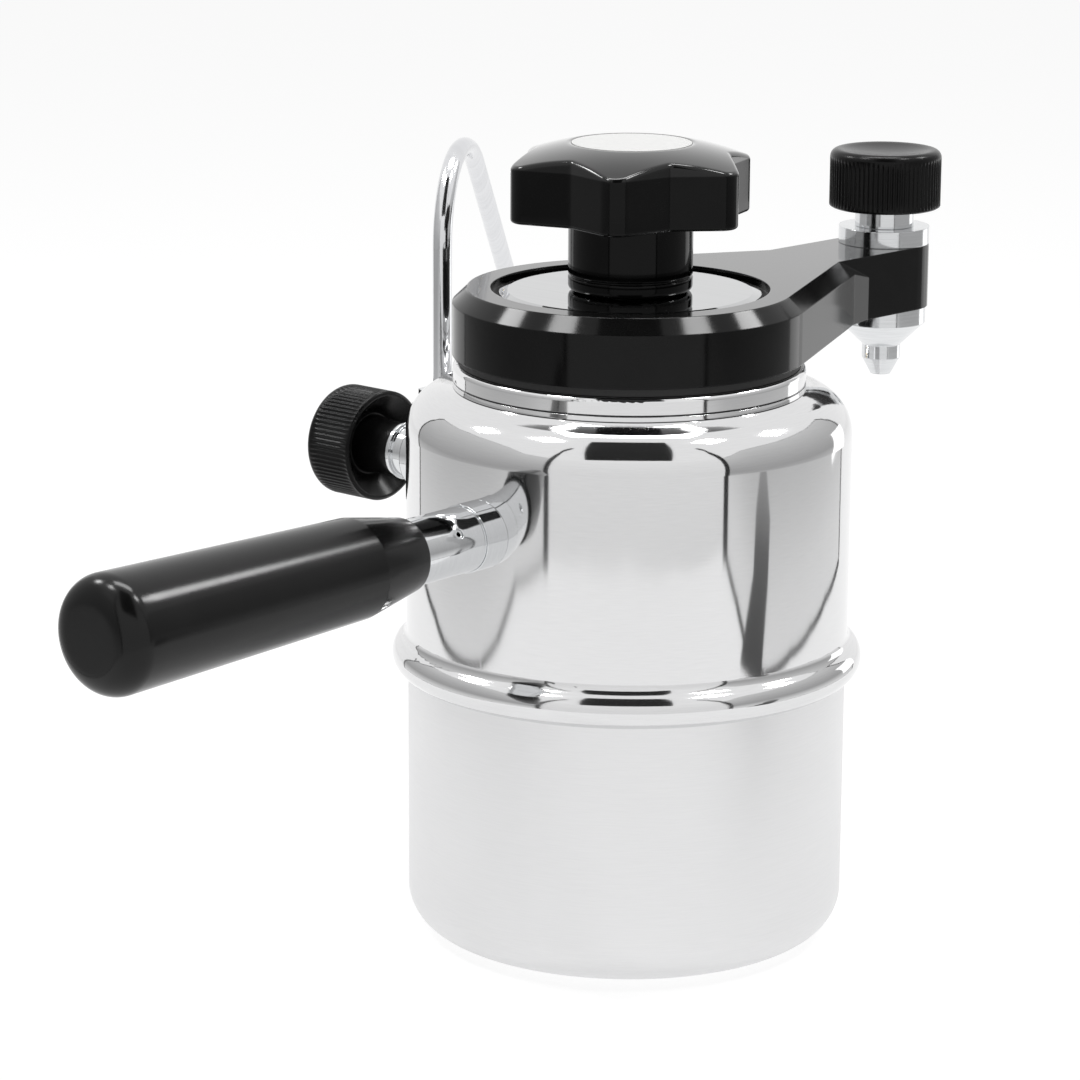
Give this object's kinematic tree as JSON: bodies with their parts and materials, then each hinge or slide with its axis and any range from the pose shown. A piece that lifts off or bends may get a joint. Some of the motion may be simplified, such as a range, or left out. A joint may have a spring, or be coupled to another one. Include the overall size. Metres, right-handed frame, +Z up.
{
  "type": "stovetop espresso maker",
  "caption": "Round steel stovetop espresso maker with a bar handle, a clamped black head whose side arm carries a coffee tap and nozzle, and a steam valve with a bent wand.",
  "frame": {"origin": "centre of the base's flat underside, on the boiler's axis", "axes": "+Z up along the boiler axis, -X along the handle, +Y along the steam valve; the coffee arm points 4.5 degrees off +X, as the head is clamped"},
  "size_m": [0.2661, 0.1585, 0.1815],
  "materials": {
    "polished_steel": "mirror polished with a fine horizontal grain",
    "satin_steel": "satin",
    "chrome_fittings": "bright",
    "black_phenolic": "gloss",
    "black_coated_metal": "black satin coating, polished chamfer",
    "black_rubber": "matt",
    "brass_fittings": "plain",
    "pale_inlay": "matt"
  },
  "bodies": {
    "base": {"lower_cup": "satin_steel", "upper_shell": "polished_steel", "neck_ring": "polished_steel", "handle_base_ring": "chrome_fittings", "handle_rod": "chrome_fittings", "handle_ferrule": "chrome_fittings", "handle_pin": "chrome_fittings", "handle_grip": "black_phenolic", "steam_valve_body": "chrome_fittings", "steam_gland": "chrome_fittings", "steam_wand": "polished_steel", "wand_nut": "chrome_fittings", "wand_tip": "chrome_fittings", "safety_body": "chrome_fittings", "safety_cap": "chrome_fittings", "safety_spring": "polished_steel", "brew_funnel": "satin_steel", "clamp_stud": "chrome_fittings", "filter_basket": "satin_steel"},
    "steam_seat": {"steam_seat_disc": "black_rubber"},
    "steam_tap": {"steam_spindle": "chrome_fittings", "steam_knob": "black_phenolic"},
    "safety_valve": {"safety_stem": "brass_fittings"},
    "head": {"head_gasket": "black_rubber", "cap_arm": "black_coated_metal", "cap_disc": "polished_steel", "upper_screen": "satin_steel", "tap_bonnet": "chrome_fittings", "tap_gland": "chrome_fittings", "spout_nozzle": "chrome_fittings"},
    "tap_seat": {"tap_seat_disc": "black_rubber"},
    "coffee_tap": {"tap_spindle": "chrome_fittings", "tap_knob": "black_phenolic"},
    "clamp_washer": {"thrust_washer": "black_phenolic"},
    "clamp_knob": {"star_knob": "black_phenolic", "knob_insert": "brass_fittings", "knob_label_disc": "pale_inlay"}
  },
  "joints": [
    {"name": "head_lift", "type": "slide", "parent": "base", "child": "head", "axis": [0, 0, 1], "range_m": [0, 0.06]},
    {"name": "clamp_rise", "type": "slide", "parent": "head", "child": "clamp_washer", "axis": [0, 0, 1], "range_m": [0, 0.00301]},
    {"name": "clamp_turn", "type": "hinge", "parent": "clamp_washer", "child": "clamp_knob", "pos_m": [0, 0, 0.16], "axis": [0, 0, 1], "range_deg": [0, 720]},
    {"name": "coffee_tap_rise", "type": "slide", "parent": "head", "child": "tap_seat", "axis": [0, 0, 1], "range_m": [0, 0.00226]},
    {"name": "coffee_tap_turn", "type": "hinge", "parent": "tap_seat", "child": "coffee_tap", "pos_m": [0.08673, -0.00683, 0.16], "axis": [0, 0, 1], "range_deg": [0, 540]},
    {"name": "steam_tap_rise", "type": "slide", "parent": "base", "child": "steam_seat", "axis": [0, 1, 0], "range_m": [0, 0.00226]},
    {"name": "steam_tap_turn", "type": "hinge", "parent": "steam_seat", "child": "steam_tap", "pos_m": [0, 0.08, 0.1008], "axis": [0, 1, 0], "range_deg": [0, 540]},
    {"name": "safety_lift", "type": "slide", "parent": "base", "child": "safety_valve", "axis": [0.7071, 0.7071, 0], "range_m": [0, 0.0015], "stiffness_N_per_m": 700, "springref_m": -0.002, "deforming": ["safety_spring"]}
  ],
  "couplings": [
    {"joint": "clamp_rise", "follows": "clamp_turn", "m_per_rad": 0.00023873},
    {"joint": "coffee_tap_rise", "follows": "coffee_tap_turn", "m_per_rad": 0.00023873},
    {"joint": "steam_tap_rise", "follows": "steam_tap_turn", "m_per_rad": 0.00023873}
  ]
}
